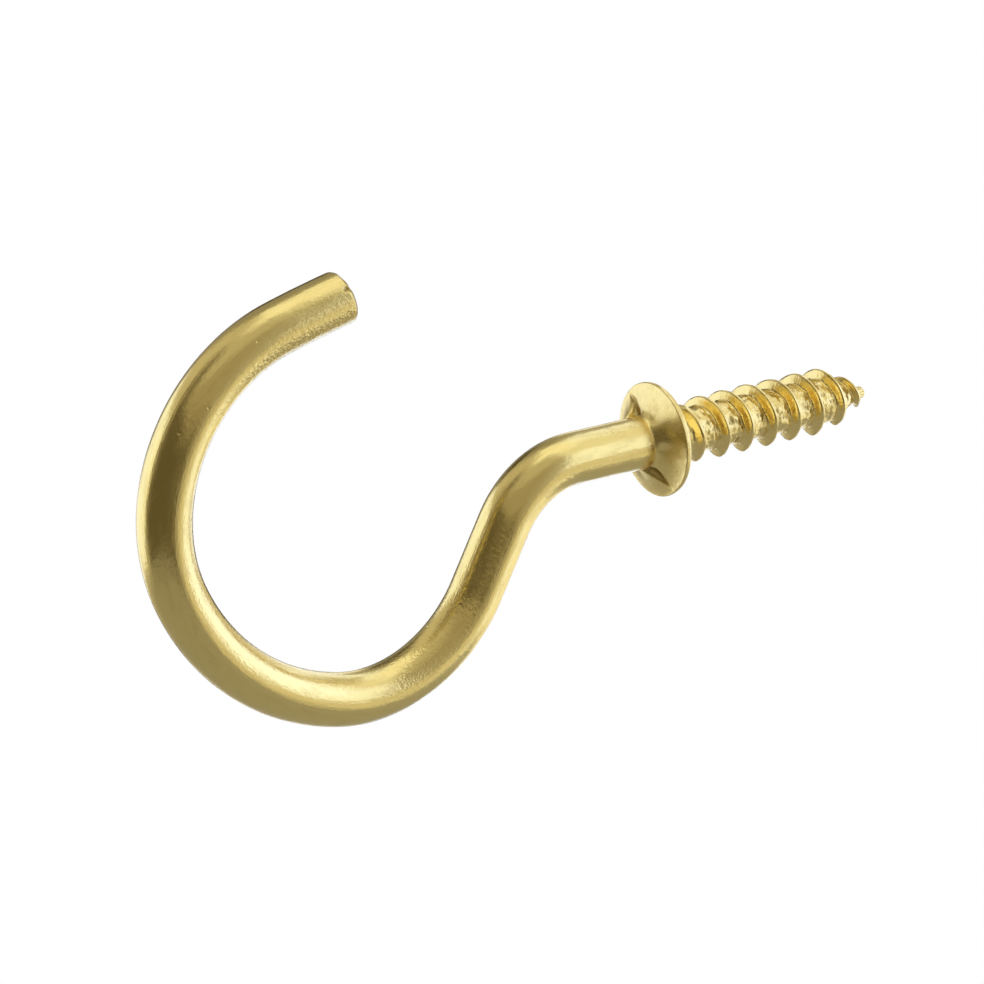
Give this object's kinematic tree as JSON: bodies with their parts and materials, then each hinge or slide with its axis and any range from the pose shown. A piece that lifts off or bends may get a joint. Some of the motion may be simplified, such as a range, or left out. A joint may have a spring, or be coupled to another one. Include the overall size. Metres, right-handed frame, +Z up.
{
  "type": "cup hook",
  "caption": "Shouldered cup hook: an open round loop of brass wire with a collar that seats on the wood and a tapered wood thread behind it.",
  "frame": {"origin": "centre of the collar's seat face, on the screw's axis, with the hook as it is fixed into an upright face", "axes": "+X along the screw's axis into the wood, +Z up towards the hook's mouth, and the loop in the XZ plane"},
  "size_m": [0.0648, 0.0086, 0.0344],
  "materials": {
    "brass": "bright drawn brass wire with die marks along it and a rolled thread"
  },
  "bodies": {
    "root": {"cup_hook": "brass"}
  },
  "joints": []
}
